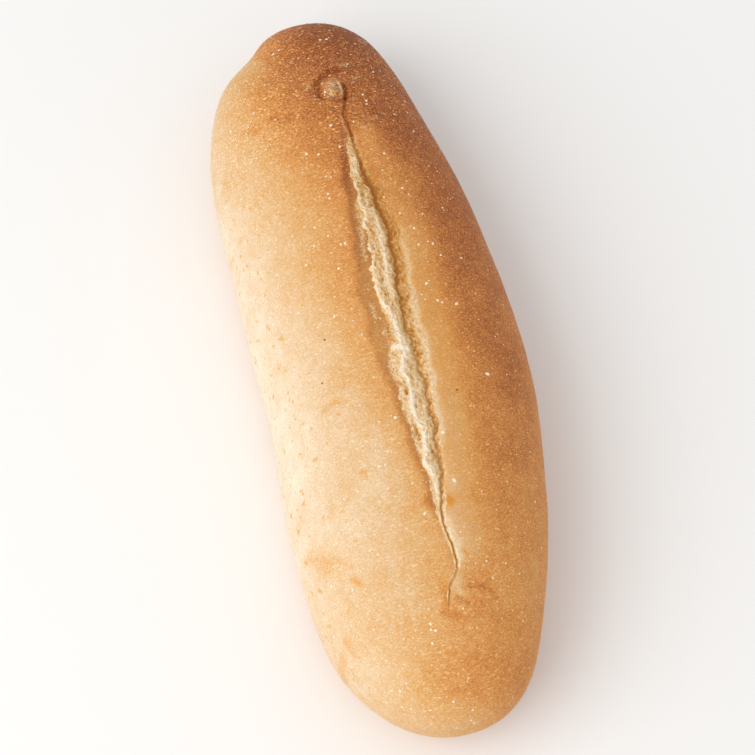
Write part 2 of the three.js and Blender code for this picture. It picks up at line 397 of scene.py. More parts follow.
centres = face_centres(crust)
crevice, crumb, bank, _ = slash_at(centres[:, 0])
inside_edge = centres[:, 1] - crevice + crumb
bank_faces = (inside_edge > -bank - BANK_OUTSIDE) & (inside_edge < BANK_INSIDE)
bank_faces &= (centres[:, 0] > BANK_FROM) & (centres[:, 0] < BANK_TO)
select_faces(crust, bank_faces & (centres[:, 2] > CROWN))
bpy.ops.mesh.vertices_smooth(factor=0.5, repeat=BANK_SMOOTHING)
bpy.ops.object.mode_set(mode="OBJECT")
for x, y, reach in FINE_SPOTS:
    centres = face_centres(crust)
    select_faces(crust, (np.hypot(centres[:, 0] - x, centres[:, 1] - y) < reach) & (centres[:, 2] > CROWN))
    bpy.ops.mesh.subdivide(number_cuts=1, smoothness=1)
    bpy.ops.object.mode_set(mode="OBJECT")

points = points_of(crust)
on_crown = points[:, 2] > CROWN
for path, width, height in PALE_FOLDS + PUCKER_FOLDS + SHADED_FOLDS + SOFT_FOLDS:
    points[:, 2] += on_crown * height * near(points, path, width)
move_points(crust, points)
print(f"The folded skin has {len(crust.data.polygons)} faces")

# %% [markdown]
# A slow unevenness
# No loaf is as even as a drawing. Gas swells it a little more here and a little less there, and the lump in
# its pucker is grainy. A weak displacement by cloud noise takes the machined look off, and a weight for
# each point keeps it away from the flat sole.

# %% Take the machined look off the skin
# Each swell, like the grain of the lump, is a size and a height.
SWELLS = [(13, 0.35), (2.2, 0.1)]
SOLE_FREE = (1, 6)
LUMP_GRAIN = (0.55, 0.35)


def paint_weights(piece, name, weights):
    """Stores a weight for each point of a piece as a vertex group, for modifiers to read."""
    group = piece.vertex_groups.new(name=name)
    for i in np.flatnonzero(weights > 0):
        group.add([int(i)], float(weights[i]), "REPLACE")


def displace(piece, size, height, weights, coords="LOCAL", direction="NORMAL", **settings):
    """Pushes a piece's points in and out by a cloud noise of that size and height, in millimetres."""
    texture = bpy.data.textures.new(f"{piece.name}_{size}", "CLOUDS")
    texture.noise_scale = size * MM
    for name, value in settings.items():
        setattr(texture, name, value)
    apply_modifier(piece, "DISPLACE", texture=texture, texture_coords=coords, direction=direction,
                   strength=height * MM, mid_level=0.5, vertex_group=weights)


points = points_of(crust)
paint_weights(crust, "above_sole", ease(points[:, 2], *SOLE_FREE))
paint_weights(crust, "lump", closeness(points, [LUMP]) * (points[:, 2] > CROWN))
for swell_size, swell_height in SWELLS:
    displace(crust, swell_size, swell_height, "above_sole")
displace(crust, *LUMP_GRAIN, "lump")
print("The skin swells by", SWELLS, "mm")

# %% [markdown]
# The torn crumb
# Inside the tear the crumb shows: a matt, pale web of gluten. It is a sheet of its own, because it needs a
# much finer mesh than the skin. A grid is bent along the tear and shrink-wrapped down onto the loaf, a
# little wider than the tear, so that its edges can dip under the skin.

# %% Lay a fine sheet over the tear
# Each fray is a step along the torn edge and how far the edge strays there.
SHEET_FROM, SHEET_TO, SHEET_STEP = -54, 79, 0.22
CRUMB_COLUMNS, WALL_COLUMNS = 36, 18
TUCK = 1.4
ABOVE_LOAF = 60
FRAYS = [(3.1, 0.8), (1.1, 0.5)]
WALL_FRAY = 0.6


def frayed(x, seed):
    """A random line along the roll, as uneven as a torn edge."""
    rng = np.random.default_rng(seed)
    line = np.zeros(len(x))
    for step, reach in FRAYS:
        places = np.arange(-HALF, HALF + step, step)
        line += reach * np.interp(x, places, rng.uniform(-1, 1, len(places)))
    return line


def torn_edges(x):
    """The crevice's place at x, and the frayed widths of the crumb and the wall beside it."""
    crevice, crumb, _, wall = slash_at(x)
    widest = np.clip((crumb + wall) / TORN_SKIN, 0, 1)
    crumb = crumb + widest * frayed(x, 1) * np.minimum(crumb, 1)
    return crevice, crumb, wall + WALL_FRAY * widest * frayed(x, 2)


bpy.ops.mesh.primitive_grid_add(
    x_subdivisions=round((SHEET_TO - SHEET_FROM) / SHEET_STEP),
    y_subdivisions=CRUMB_COLUMNS + WALL_COLUMNS,
    size=1,
)
torn_crumb = bpy.context.object
torn_crumb.name = "torn_crumb"
# The new grid is 1 m wide and centred, so half a metre is added to count from its corner.
grid = points_of(torn_crumb) * MM + 0.5
x = SHEET_FROM + grid[:, 0] * (SHEET_TO - SHEET_FROM)
crevice, crumb, wall = torn_edges(x)
turn = CRUMB_COLUMNS / (CRUMB_COLUMNS + WALL_COLUMNS)
across = np.where(
    grid[:, 1] < turn,
    (grid[:, 1] / turn - 1) * (crumb + TUCK),
    (grid[:, 1] - turn) / (1 - turn) * (wall + TUCK),
)
move_points(torn_crumb, np.column_stack([x, crevice + across, np.full(len(x), ABOVE_LOAF)]))
apply_modifier(torn_crumb, "SHRINKWRAP", target=crust, wrap_method="PROJECT",
               use_project_z=True, use_negative_direction=True, use_positive_direction=False)
print(f"The sheet over the tear has {len(torn_crumb.data.polygons)} faces")

# %% [markdown]
# Strands and hollows
# Tearing pulled the crumb into ridges along the tear and left small hollows between them. The largest are
# raised or sunk along short lines, so that they lie where they should. A hard noise that is stretched along
# the tear then breaks up the rest.

# %% Pull the crumb into strands
# Each strand or hollow is a line, its width and its height. Each roughness is a size and a height.
CRUMB_PROUD, WALL_PROUD, EDGE_SINK, EDGE_RISE = 0.1, -0.05, 0.8, 0.6
FULLY_OPEN = 0.6
CREVICE_WIDTH, CREVICE_EXTRA = 0.4, 0.2
SHAKE_LENGTH, SHAKE_REACH, SHAKE_DRIFT, DRIFT_REACH = 2.7, 0.2, 3.7, 2
CRACK_FROM, CRACK_TO, CRACK_FILL = 48, 54, 0.3
LOOSE_FROM, LOOSE_TO = -1.2, 0.3
LEAST_LOOSE, CREVICE_CALM, WALL_LOOSE = 0.15, 0.7, 0.75
WALL_TURN = (-0.5, 0.5)
STRANDS = [
    ([(-45, 4.6), (-39, 3.4), (-36, 2.4), (-27, 2.8), (-22, 0.6), (-17, 1.2), (-7, -0.6),
      (-3, -0.2), (1, 1.3), (6, 2), (11, 1.6)], 0.8, 0.35),
    ([(10.5, -0.3), (12, 2.8), (14, 1.2), (17, 0.2), (23, 0.8), (27, 0), (31, 0.1), (36, 0.8)], 0.7, 0.4),
    ([(36, 0.6), (39, 0), (42, -1.1), (45, -0.2), (52, 0)], 0.7, 0.35),
    ([(-35, 5.2), (-30, 4.6), (-24, 5.2), (-16, 4.6), (-8, 3.6), (-3, 3.2)], 0.9, 0.2),
]
HOLLOWS = [
    ([(20.5, 0), (23.5, -0.4)], 0.5, -0.5),
    ([(32.5, -0.7), (36, -0.6)], 0.5, -0.5),
    ([(38.5, 1.6), (42, 1.8)], 0.6, -0.4),
    ([(-3, -1.2), (2, -0.6), (8, -0.3)], 0.7, -0.5),
]
STRAND_STRETCH = 1.6
CRUMB_ROUGHNESS = [(1.5, -0.7), (0.7, -0.7), (0.4, 0.45)]

open_share = np.clip(along(CREVICE_DEPTH, x) / FULLY_OPEN, 0, 1)
drift = DRIFT_REACH * np.sin(2 * pi * x / (SHAKE_DRIFT * SHAKE_LENGTH))
shaken = across + SHAKE_REACH * np.sin(2 * pi * x / SHAKE_LENGTH + drift)
inside = np.minimum(across + crumb, wall - across)
inside = np.minimum(inside, np.minimum(x - SHEET_FROM, SHEET_TO - x) - TUCK)
points = points_of(torn_crumb)
wrapped = points[:, 2].copy()
in_crevice = open_share * bell(shaken, CREVICE_WIDTH)
points[:, 2] -= CREVICE_EXTRA * in_crevice
in_crack = ease(x, CRACK_FROM, CRACK_TO) * open_share
points[:, 2] += CRACK_FILL * in_crack * bell(across, 2 * CREVICE_WIDTH)
loose = ease(inside, LOOSE_FROM, LOOSE_TO) * (1 - CREVICE_CALM * in_crevice)
loose *= np.clip((crumb + wall) / TORN_SKIN, LEAST_LOOSE, 1)
for path, width, height in STRANDS + HOLLOWS:
    points[:, 2] += loose * height * near(points, path, width)
move_points(torn_crumb, points)

corners = np.empty(len(torn_crumb.data.loops), int)
torn_crumb.data.loops.foreach_get("vertex_index", corners)
# The modifier doubles a UV coordinate and takes 1 off it, and that is undone here.
stretched = (np.column_stack([x / STRAND_STRETCH, across]) * MM + 1) / 2
torn_crumb.data.uv_layers[0].data.foreach_set("uv", stretched[corners].ravel())
paint_weights(torn_crumb, "loose", loose * np.where(across > 0, WALL_LOOSE, 1))
for size_mm, height_mm in CRUMB_ROUGHNESS:
    displace(torn_crumb, size_mm, height_mm, "loose", coords="UV", direction="Z",
             noise_type="HARD_NOISE", noise_depth=2)
points = points_of(torn_crumb)
lift = points[:, 2] - wrapped
proud = CRUMB_PROUD + (WALL_PROUD - CRUMB_PROUD) * ease(across, *WALL_TURN)
points[:, 2] += proud - EDGE_SINK * (1 - ease(inside, -TUCK, EDGE_RISE) * open_share)
move_points(torn_crumb, points)
bpy.ops.object.shade_smooth()
print(f"The crumb rises and falls by {lift.min():.1f} to {lift.max():.1f} mm")

# %% [markdown]
# Pale strands and tan pits
# Crumb that stands up is pale, and its pits are tan, partly by their own colour and partly by painted shade:
# the number that the material reads follows the lift of each point. The foot of the crumb by the crevice, the
# crevice and the line of the second crack are painted darker as shade, and the torn wall and the second crack
# have other changes of their own.

# %% Paint how pale the crumb is
# Each change along the tear is where it starts, where it is full, and how much paler the crumb is from
# there on.
FLAT_PALENESS, LIFT_PALENESS_AND_SHADE, PALENESS_OF_STRANDS = 0.42, 0.7, 0.2
CRUMB_CHANGES = [(0, 14, 0.12), (-15, -40, -0.27), (-33, -48, 0.38)]
FOOT_ACROSS, FOOT_SHADE_CHANGES = (-2.2, -0.3), [(5, -15, -0.2)]
WALL_FROM = (0, 0.6)
WALL_PALENESS, WALL_CHANGES = 0.08, [(-25, 25, 0.3), (-38, -48, 0.3)]
LIP_FROM, LIP_PALENESS, LIP_CHANGES = (0.3, 1), 0.05, [(-30, 5, 0.3)]
CRACK_STRETCH, CRACK_PALENESS = (50, 56, 72, 76), 0.7
CREVICE_SHADE_CHANGES = [(-52, -42, -0.13)]
CRACK_LINE, CRACK_LINE_SHADE = 0.28, 0.4


def paint_attribute(piece, name, values):
    """Stores a number for each point of a piece, for its material to read."""
    attribute = piece.data.attributes.new(name, "FLOAT", "POINT")
    attribute.data.foreach_set("value", np.asarray(values, np.float32))


def stretch(x, start, full, fading, end):
    """1 along a stretch of the roll, rising from start to full and falling from fading to end."""
    return ease(x, start, full) * ease(x, end, fading)


def changed(x, changes):
    """The sum of some changes along the roll."""
    return sum(amount * ease(x, start, full) for start, full, amount in changes)


relative = lift - np.median(lift)
# Painted shade and paleness: lower points are darker and raised ones paler, and the foot by the crevice is
# painted darker as shade.
paleness_and_shade = FLAT_PALENESS + LIFT_PALENESS_AND_SHADE * relative + PALENESS_OF_STRANDS * closeness(points, STRANDS)
paleness_and_shade += changed(x, CRUMB_CHANGES) + ease(across, *FOOT_ACROSS) * changed(x, FOOT_SHADE_CHANGES)
near_lip = ease(np.clip(across / wall, 0, 1), *LIP_FROM)
wall_paleness = WALL_PALENESS + changed(x, WALL_CHANGES) + (LIP_PALENESS + changed(x, LIP_CHANGES)) * near_lip
wall_paleness += stretch(x, *CRACK_STRETCH) * (CRACK_PALENESS - wall_paleness)
paleness_and_shade += ease(across, *WALL_FROM) * (wall_paleness + relative - paleness_and_shade)
# Painted shade: the crevice is darker from the middle of the tear on, and a dark line stands for the shadow
# in the filled second crack.
paleness_and_shade += in_crevice * changed(x, CREVICE_SHADE_CHANGES) - CRACK_LINE_SHADE * in_crack * bell(across, CRACK_LINE)
paint_attribute(torn_crumb, "paleness_and_shade", paleness_and_shade)
print(f"The crumb's paleness runs from {paleness_and_shade.min():.2f} to {paleness_and_shade.max():.2f}")

# %% [markdown]
# A closed sheet in an open skin
# A sheet without a thickness isn't a closed body, so it gets one. The skin still runs right under it, and
# the two would show through each other. A boolean cut would leave a ragged rim, so the skin's own points
# are pressed down into a trench there.

# %% Close the sheet and press the skin down under it
SHEET_THICKNESS = 1.2
TRENCH_DEPTH = 2.4
TRENCH_FROM, TRENCH_TO = 0.35, 0.85
TRENCH_STRETCH = (SHEET_FROM + 1, SHEET_FROM + 4, SHEET_TO - 4, SHEET_TO - 1)
SLIVER, WIDE_CRUMB, WIDE_WALL = 1e-6, 2.6, 2


def opened(inside, width, widest):
    """How open the skin is at that distance inside one edge of the tear, from 0 to 1."""
    # At the roll's tips the tear has no width, and a sliver stands in for it.
    width = np.where(width == 0, SLIVER, np.minimum(width, widest))
    return ease(inside / width, TRENCH_FROM, TRENCH_TO)


apply_modifier(torn_crumb, "SOLIDIFY", thickness=SHEET_THICKNESS * MM, offset=-1)
points = points_of(crust)
x = points[:, 0]
crevice, crumb, wall = torn_edges(x)
across = points[:, 1] - crevice
trench = opened(across + crumb, crumb, WIDE_CRUMB) * opened(wall - across, wall, WIDE_WALL)
trench *= stretch(x, *TRENCH_STRETCH) * (points[:, 2] > CROWN)
trench *= np.clip(along(CREVICE_DEPTH, x) / FULLY_OPEN, 0, 1)
points[:, 2] -= TRENCH_DEPTH * trench
move_points(crust, points)
print(f"The skin is pressed down at {(trench > 0).sum()} of its points")

# %% [markdown]
# How brown each place is, and where light and shade are painted
# Crust browns where it is hottest and driest. This roll is browner at one end and along the outer side of its
# bow, and paler on its other flank; part of that change across the roll is painted light, paler on the flank
# that faces the key light and browner on the flank in shade. It is golden beside the torn lip, and a dull
# ochre on the stretched bank of the tear, where the darker bank and its rim are partly painted shade. The
# folds of the pucker and the creases are painted darker as shade, and the fold at the brown end is painted
# darker beyond it and lighter before it. A painted image could hold all that, but then the skin would have to
# be unwrapped. Here each point gets its own numbers, worked out from its place on the roll, and the material
# turns them into colour.

# %% Paint the browning
# The browning is read at both ends, by the distance from the backbone. A patch is a place along and across
# the roll, its reach both ways, and how much browner it is.
BACKBONE = [(-HALF, 3.1), (-72, -0.6), (-31, 1), (10, 1.4), (51, -3.5), (82, -7.1), (HALF, -5.8)]
BROWN_END = [(-36, 0.06), (-20, 0.38), (0, 0.8), (16, 0.93), (36, 0.84)]
PALE_END = [(-36, 0.08), (-20, 0.22), (0, 0.42), (16, 0.6), (36, 0.56)]
BROWN_FROM, PALE_FROM = -75, 75
TEAR_STRETCH = (-60, -46, 48, 62)
BANK_OUTER, BANK_INNER, BANK_BROWNER_AND_SHADE = (-2, 1.5), (1, -0.5), 0.13
BEND_AT, BEND_REACH, BEND_BROWNER_AND_SHADE = -36, 12, 0.1
RIM_INSIDE, RIM_WIDTH, RIM_SHADE = 0.3, 0.8, 0.1
GOLDEN_STRETCH, GOLDEN_AT, GOLDEN_REACH, GOLDEN_PALER = (-60, -50, 62, 72), 2.5, 5, 0.2
LIP_STRETCHES, LIP_WIDTH, LIP_PALER = [(-30, -12, 34, 42), (54, 58, 66, 72)], 1.2, 0.16
CREASE_SHADE = 0.12
FOLD_FROM, FOLD_ACROSS = np.array([-96.2, -14.5]), np.array([-0.4, 0.92])
FOLD_TURN, FOLD_REACH, FOLD_ALONG, FOLD_ABOVE, FOLD_SHADING = (-3, 4), 9, (-76, -90), (16, 30), 0.1
SOLE_EDGE, SOLE_FRAY, SOLE_BROWNING = (8, 2), 1.5, 0.7
GRAIN_PALE, GRAIN_BROWN, GRAIN_FAR, FAR_ALONG = 0.3, 0.85, 0.55, (-30, -75)
GOLD_STRETCH, OCHRE_ALONG = (-30, 10, 58, 70), (-46, -30)
PATCHES = [
    (-70, -16, 28, 14, 0.05),
    (20, -34, 40, 8, -0.06),
    (78, -10, 12, 14, 0.05),
    (72, -28, 12, 8, 0.09),
    (-94, 10, 12, 12, 0.18),
    (-90, -7, 6, 7, -0.04),
    (-54, 11, 6, 4, -0.08),
    (-37, 16, 10, 5, -0.06),
    (-16, 15, 12, 6, -0.1),
    (14, 13, 18, 6, -0.05),
    (-30, 30, 30, 7, 0.07),
    (26, 29, 28, 6, 0.07),
    (81, 12, 10, 8, -0.06),
    (94, -10, 7, 14, 0.17),
    (43, -13, 11, 8, -0.12),
    (-42, -32, 12, 5, -0.07),
    (-42, -8, 14, 8, -0.05),
    (-53, -27, 12, 6, 0.06),
    (27, 5.4, 4, 1.5, -0.1),
    (33, -12.5, 12, 1.6, -0.06),
    (34, 8, 12, 5, -0.05),
    (-4, -10, 12, 5, 0.04),
    (48.5, 3.4, 3, 1.5, -0.12),
    (60, 3, 6, 2, -0.06),
    (72.5, -1.8, 3, 1.6, -0.2),
    (58, -31, 4, 3, 0.13),
    (53, 2.2, 1.2, 1, 0.42),
    (52, -3, 1.6, 1.1, 0.28),
    (74.5, -5.3, 3, 0.9, 0.14),
]

points = points_of(crust)
x, y, z = points.T
on_crown = z > CROWN
from_bone = y - along(BACKBONE, x)
towards_pale = np.clip((x - BROWN_FROM) / (PALE_FROM - BROWN_FROM), 0, 1)
# Across the roll this is partly painted light: paler on the flank towards the key light, browner on the flank
# in shade.
browning_and_shade = along(BROWN_END, from_bone) * (1 - towards_pale) + along(PALE_END, from_bone) * towards_pale
crevice, crumb, bank, wall = slash_at(x)
across = y - crevice
from_edge = across + crumb
beside_tear = stretch(x, *TEAR_STRETCH) * on_crown
in_bank = ease(from_edge + bank, *BANK_OUTER) * ease(from_edge, *BANK_INNER)
bank_rim = bell(from_edge + bank - RIM_INSIDE, RIM_WIDTH)
# The bank of the tear is painted darker, partly its own browner skin and partly painted shade where it turns
# away from the light; its outer rim is painted darker as shade.
bank_browner_and_shade = BANK_BROWNER_AND_SHADE + BEND_BROWNER_AND_SHADE * bell(x - BEND_AT, BEND_REACH)
browning_and_shade += beside_tear * (bank_browner_and_shade * in_bank + RIM_SHADE * bank_rim)
golden = stretch(x, *GOLDEN_STRETCH) * on_crown * bell(across - wall - GOLDEN_AT, GOLDEN_REACH)
browning_and_shade -= GOLDEN_PALER * golden
lip = sum(stretch(x, *part) for part in LIP_STRETCHES) * on_crown
browning_and_shade -= lip * LIP_PALER * bell(across - wall, LIP_WIDTH)
# Painted shade: the folds of the pucker and the creases are darker where shade falls in them.
browning_and_shade += CREASE_SHADE * (closeness(points, PUCKER_FOLDS) + closeness(points, SHADED_FOLDS)) * on_crown
# Painted shade and light: the lobe beyond the fold at the brown end is darker, and the skin before the fold
# is lighter.
beyond_fold = (points[:, :2] - FOLD_FROM) @ FOLD_ACROSS
fold_shade = (2 * ease(beyond_fold, *FOLD_TURN) - 1) * bell(beyond_fold, FOLD_REACH)
browning_and_shade += FOLD_SHADING * fold_shade * ease(x, *FOLD_ALONG) * ease(z, *FOLD_ABOVE)
for patch_x, patch_y, reach_x, reach_y, amount in PATCHES:
    browning_and_shade += amount * bell(x - patch_x, reach_x) * bell(y - patch_y, reach_y)
browning_and_shade += ease(z + SOLE_FRAY * frayed(x, 3), *SOLE_EDGE) * (SOLE_BROWNING - browning_and_shade)
paint_attribute(crust, "browning_and_shade", browning_and_shade)
graininess = (GRAIN_PALE + GRAIN_BROWN * np.clip(browning_and_shade, 0, 1)) * (1 + GRAIN_FAR * ease(x, *FAR_ALONG))
paint_attribute(crust, "grain", graininess)
paint_attribute(crust, "gold", golden * stretch(x, *GOLD_STRETCH))
# The dull ochre of the bank is partly its own colour and partly painted shade.
ochre_bank = beside_tear * in_bank * ease(x, *OCHRE_ALONG)
paint_attribute(crust, "ochre", ochre_bank)
print(f"The browning runs from {browning_and_shade.min():.2f} to {browning_and_shade.max():.2f}")

# %% [markdown]
# Scorches and shreds
# A few small places near the pale end and on the flanks toasted to orange flecks. Elsewhere the skin tore
# so thin that crumb shows: on the lump and the folds of the pucker, along the edges of the tear, and in
# shreds on its bank. They are too thin to be worth modelling, so each is painted along a short line, and
# the material frays its edge.

# %% Paint the scorches and shreds
# Each is a line along and across the roll, its width, and how deep the scorch or how bare the skin is.
SCORCHES = [
    ([(53.1, -33.6), (57, -30.2)], 2.6, 0.5),
    ([(57.6, -28.6), (61, -25.2)], 1.6, 0.45),
    ([(64.2, -25.4), (65.8, -24.1)], 1.2, 0.7),
    ([(76.2, -30.8), (80.5, -29.4)], 0.8, 0.6),
    ([(77.6, -32.2), (80.2, -31.6)], 0.7, 0.7),
    ([(79.2, -33), (83, -32.8)], 1, 0.5),
    ([(52.5, 2.1), (53.4, 2.4)], 0.9, 0.6),
    ([(51.2, -2.8), (52.8, -3)], 1, 0.4),
    ([(78.1, -18.4), (78.9, -18.2)], 0.9, 0.6),
    ([(81.2, -15.6), (82, -15.4)], 0.9, 0.55),
    ([(78.6, -6.2), (79.8, -3.4)], 0.9, 0.35),
    ([(71.4, -4.4), (74, -5.2), (77, -5.8)], 1, 0.35),
    ([(-37, -29), (-36.4, -29.4)], 0.8, 0.6),
    ([(-35.2, -32.2), (-34.8, -32.4)], 0.8, 0.6),
    ([(-55.8, -29.3), (-55, -28.9)], 0.7, 0.5),
    ([(-13, 10.6), (-12.4, 11)], 0.9, 0.5),
    ([(27.9, -16.3), (30.2, -12.2)], 1.6, 0.25),
    ([(19.2, -10), (19.6, -10)], 0.5, 0.7),
]
SHREDS = [
    ([(-2.4, -2.6), (1.6, -2.4)], 0.8, 0.7),
    ([(13.5, -2), (16, -2.6), (19.6, -2)], 0.8, 0.75),
    ([(33, -1.8), (38, -1.9)], 0.7, 0.75),
    ([(-19.4, -0.2), (-15.4, -0.5)], 0.9, 0.6),
    ([(-28.5, 0.5), (-26.5, 1.2)], 0.9, 0.55),
    ([(-24.4, 0.6), (-20.4, 0.3)], 1.1, 0.65),
    ([(-58, 4.8), (-53, 4.4)], 0.9, 0.35),
    ([(-52, 4.2), (-47, 3.2)], 1, 0.5),
]
SCORCHED_ABOVE = 15
FOLD_BARE, LUMP_BARE, BANK_BARE = 0.55, 0.65, 0.26
EDGE_BARE, EDGE_ALONG, EDGE_OUTSIDE, EDGE_WIDTH = 0.5, (-5, 10), 0.2, 0.7
LIP_BARE, LIP_OUTSIDE, LIP_REACH = 0.7, 0.2, 0.8

scorched = np.max([depth * near(points, path, width) for path, width, depth in SCORCHES], axis=0)
paint_attribute(crust, "scorch", scorched * (z > SCORCHED_ABOVE))
bare = np.max([
    FOLD_BARE * closeness(points, PALE_FOLDS) + LUMP_BARE * closeness(points, [LUMP]),
    *(share * near(points, path, width) for path, width, share in SHREDS),
    EDGE_BARE * beside_tear * ease(x, *EDGE_ALONG) * bell(from_edge + EDGE_OUTSIDE, EDGE_WIDTH),
    BANK_BARE * ochre_bank,
    LIP_BARE * lip * bell(across - wall - LIP_OUTSIDE, LIP_REACH),
], axis=0)
paint_attribute(crust, "bare", bare * on_crown)
print(f"{len(SCORCHES)} scorches and {len(SHREDS)} shreds are painted on the skin")

# %% [markdown]
# Blisters
# A dough that rests in the cold raises tiny gas blisters under its skin. Baked, they are pale beads like
# glass, most of them smaller than half a millimetre. They all have about the same form, a low dome, so one is
# modelled from the upper half of a sphere and closed with a flat base.

# %% Model one dome
# The sphere tool lists its points and faces in another order on each run, so both are sorted. The base goes
# around the rim clockwise, as seen from above, so that it faces down.
DOME_SIDES, DOME_RINGS = 8, 3
RIM_HEIGHT = 0.001

bpy.ops.mesh.primitive_uv_sphere_add(segments=DOME_SIDES, ring_count=2 * DOME_RINGS, radius=1)
dome = bpy.context.object
select_faces(dome, face_centres(dome)[:, 2] < 0)
bpy.ops.mesh.delete(type="FACE")
bpy.ops.object.mode_set(mode="OBJECT")
dome_points = points_of(dome) * MM
order = np.lexsort((dome_points / RIM_HEIGHT).round().T)
dome_points, ranks = dome_points[order], order.argsort()
dome_faces = []
for face in dome.data.polygons:
    corners = ranks[list(face.vertices)]
    dome_faces.append(np.roll(corners, -corners.argmin()).tolist())
rim = np.flatnonzero(dome_points[:, 2] < RIM_HEIGHT)
clockwise = np.argsort(-np.arctan2(dome_points[rim, 1], dome_points[rim, 0]))
dome_faces = sorted(dome_faces) + [rim[clockwise].tolist()]
bpy.data.objects.remove(dome)
print(f"One dome has {len(dome_faces)} faces")

# %% [markdown]
# Where the blisters sit
# Blisters lie thickest on the brown end and on the crown, and there are none in the tear. Each face of the
# skin gets a chance that says so, and a generator with a fixed seed picks the faces, so that each run gives
# the same roll. The largest ones and three dark specks of bran have set places.

# %% Choose where the blisters sit
# A seen blister is a place along and across the roll and the radius of its glint, a little wider than its
# dome.
BLISTERS = 1700
BLISTER_RADIUS, BLISTER_SPREAD, BLISTER_LIMITS = 0.17, 0.4, (0.1, 0.36)
BLISTERS_ABOVE, PLACED_ABOVE = (5, 22), 20
PALE_DENSITY, DENSER_BROWN = 0.5, (0.2, 0.9)
FAR_DENSITY, DENSER_FAR = 2.5, (-45, -80)
LUMP_DENSITY = 9
TEAR_MARGIN = 1
FEW_GLINTS = 3
BRAN_SPECKS = [(2.2, -16.5), (13.3, -19.5), (25.7, 12.1)]
BRAN_RADIUS, BRAN_BROWNING = 0.3, 1.6
SEEN_SHARE = 0.9
SEEN_BLISTERS = [
    (-88.2, 6.4, 0.45), (-88.2, 8.2, 0.4), (-88.8, -6.8, 0.4), (-88.9, -5.2, 0.45), (-56.8, 1.1, 0.42),
    (-49.7, 1.8, 0.4), (-50.1, -7.3, 0.45), (-48.8, -3.5, 0.38), (-41.9, -3.9, 0.38), (-41.7, -3.2, 0.3),
    (-36.6, -4.2, 0.4), (-35.2, -4.8, 0.36), (-24.7, -7.3, 0.36), (-21.5, -6, 0.42), (-21.6, -4.7, 0.4),
    (-32, 8.8, 0.36), (-26, 12, 0.38), (-4.7, 12.5, 0.45), (-39.7, 10.8, 0.34), (-45, 13.2, 0.4),
    (-9.8, 8.8, 0.36), (-65.7, 12.3, 0.38), (-63.5, 13, 0.38), (-56.7, 7.5, 0.36), (29.3, -4.8, 0.55),
    (36, 5.6, 0.55), (48.4, 4.6, 0.55), (80.3, -10.8, 0.4), (81.6, -11.2, 0.38), (82.2, -9.3, 0.42),
    (84.4, -11.4, 0.4), (79, -2, 0.3), (1.5, 18.6, 0.6), (22, 21.5, 0.55), (54.6, -4.8, 0.38),
    (-33.6, 14.3, 0.34), (-31.8, 15.4, 0.3), (-21.5, 14.2, 0.42), (-16.3, 14, 0.38), (-16.9, 16.5, 0.34),
    (-16.5, 17.4, 0.38), (-12.7, 18.7, 0.36), (-11.6, 24, 0.36), (0.3, 14.3, 0.4), (1, 15.1, 0.42),
    (-41.2, 23.7, 0.3), (-27.3, 24.1, 0.3), (-25.2, 17.1, 0.3), (-14.6, -8.3, 0.48), (-19.4, -15.5, 0.36),
    (-2.9, -11.9, 0.36), (-28.5, -11.2, 0.32), (-23.4, -12.7, 0.32), (91.1, -23.2, 0.36),
    (92.1, -21.1, 0.4), (91, -19.6, 0.32), (94.8, -21.8, 0.4), (96, -19.6, 0.42), (98, -15.4, 0.38),
    (97.9, -9.6, 0.4), (100.5, -5.3, 0.38), (102, -6.1, 0.36),
]
rng = np.random.default_rng(7)

centres = face_centres(crust)
areas = np.array([face.area for face in crust.data.polygons])
normals = np.array([face.normal for face in crust.data.polygons])
face_browning_and_shade = np.array([browning_and_shade[list(face.vertices)].mean() for face in crust.data.polygons])


def nearest_face(x, y):
    """The upper face of the skin that lies nearest to a place along and across the roll."""
    gaps = np.hypot(centres[:, 0] - x, centres[:, 1] - y) + HALF * (centres[:, 2] < PLACED_ABOVE)
    return int(gaps.argmin())


density = ease(centres[:, 2], *BLISTERS_ABOVE)
density *= PALE_DENSITY + (1 - PALE_DENSITY) * ease(face_browning_and_shade, *DENSER_BROWN)
density *= 1 + FAR_DENSITY * ease(centres[:, 0], *DENSER_FAR)
on_crown = centres[:, 2] > CROWN
density += LUMP_DENSITY * closeness(centres, [LUMP]) * on_crown
crevice, crumb, _, wall = slash_at(centres[:, 0])
across = centres[:, 1] - crevice
in_tear = (across > -crumb - TEAR_MARGIN) & (across < wall + TEAR_MARGIN)
in_tear &= (centres[:, 0] > SHEET_FROM) & (centres[:, 0] < SHEET_TO)
density[in_tear & on_crown] = 0
chances = areas * density / (areas * density).sum()
chosen = list(rng.choice(len(centres), BLISTERS, p=chances))
radii = BLISTER_RADIUS * np.exp(BLISTER_SPREAD * rng.standard_normal(BLISTERS))
radii = list(np.clip(radii, *BLISTER_LIMITS))
# This share whitens a few beads, partly their pale film and partly a painted highlight for their glint.
glassy_and_glint = list(rng.uniform(0, 1, BLISTERS) ** FEW_GLINTS)
# The set blisters are painted fully white, partly their pale film and partly a painted highlight for their
# glint.
chosen += [nearest_face(seen_x, seen_y) for seen_x, seen_y, _ in SEEN_BLISTERS]
radii += [SEEN_SHARE * radius for _, _, radius in SEEN_BLISTERS]
glassy_and_glint += [1] * len(SEEN_BLISTERS)
bead_browning_and_shade = list(face_browning_and_shade[chosen])
chosen += [nearest_face(*place) for place in BRAN_SPECKS]
radii += [BRAN_RADIUS] * len(BRAN_SPECKS)
glassy_and_glint += [0] * len(BRAN_SPECKS)
bead_browning_and_shade += [BRAN_BROWNING] * len(BRAN_SPECKS)
print(f"{len(chosen)} blisters have radii from {min(radii):.2f} to {max(radii):.2f} mm")

